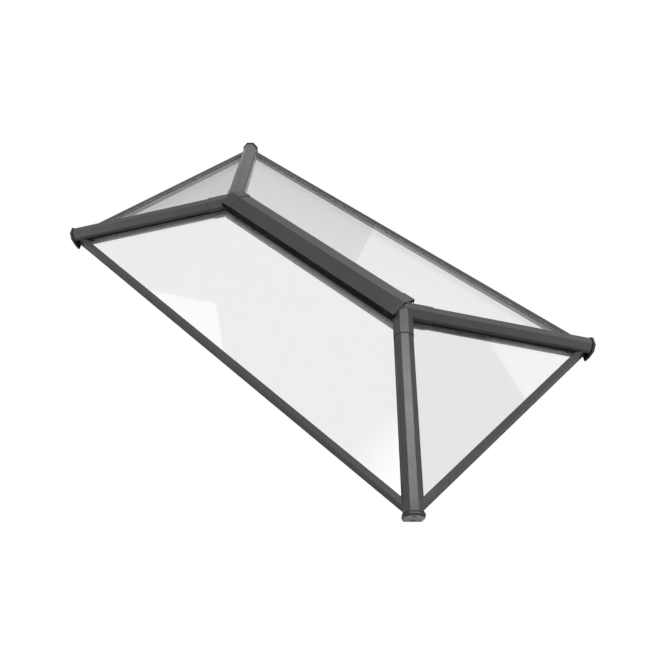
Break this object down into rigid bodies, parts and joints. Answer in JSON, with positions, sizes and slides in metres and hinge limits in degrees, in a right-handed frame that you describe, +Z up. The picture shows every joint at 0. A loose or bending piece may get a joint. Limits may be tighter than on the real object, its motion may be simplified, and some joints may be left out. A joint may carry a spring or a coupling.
{
  "type": "roof lantern skylight",
  "caption": "Hipped roof lantern skylight with a low pitch: slim dark frame, faceted hip covers, shallow gable ridge cover, junction covers, corner caps and sealed double glazing.",
  "frame": {"origin": "centre of the bounding box in plan, at the lowest point of the four corner caps", "axes": "+X along the ridge and the long sides, +Y across the ridge, +Z up"},
  "size_m": [2.1308, 1.1308, 0.2944],
  "materials": {
    "coated_grey": "satin",
    "moulded_grey": "satin",
    "room_side_grey": "satin",
    "ridge_body_black": "matte",
    "gasket_rubber": "matte",
    "edge_seal": "matte",
    "outer_glass": "gloss",
    "inner_glass": "gloss"
  },
  "bodies": {
    "root": {"corner_cap_back_left": "moulded_grey", "corner_cap_back_right": "moulded_grey", "corner_cap_front_left": "moulded_grey", "corner_cap_front_right": "moulded_grey", "eaves_back": "coated_grey", "eaves_front": "coated_grey", "eaves_gasket_back": "gasket_rubber", "eaves_gasket_front": "gasket_rubber", "eaves_gasket_left": "gasket_rubber", "eaves_gasket_right": "gasket_rubber", "eaves_left": "coated_grey", "eaves_right": "coated_grey", "edge_seal_back": "edge_seal", "edge_seal_front": "edge_seal", "edge_seal_left": "edge_seal", "edge_seal_right": "edge_seal", "hip_beam_back_left": "room_side_grey", "hip_beam_back_right": "room_side_grey", "hip_beam_front_left": "room_side_grey", "hip_beam_front_right": "room_side_grey", "hip_cover_back_left": "coated_grey", "hip_cover_back_right": "coated_grey", "hip_cover_front_left": "coated_grey", "hip_cover_front_right": "coated_grey", "hip_gasket_back_left": "gasket_rubber", "hip_gasket_back_right": "gasket_rubber", "hip_gasket_front_left": "gasket_rubber", "hip_gasket_front_right": "gasket_rubber", "junction_cover_left": "moulded_grey", "junction_cover_right": "moulded_grey", "junction_under_left": "room_side_grey", "junction_under_right": "room_side_grey", "pane_inner_back": "inner_glass", "pane_inner_front": "inner_glass", "pane_inner_left": "inner_glass", "pane_inner_right": "inner_glass", "pane_outer_back": "outer_glass", "pane_outer_front": "outer_glass", "pane_outer_left": "outer_glass", "pane_outer_right": "outer_glass", "ridge_beam": "room_side_grey", "ridge_body": "ridge_body_black", "ridge_cover": "coated_grey", "ridge_end_left": "moulded_grey", "ridge_end_right": "moulded_grey"}
  },
  "joints": []
}
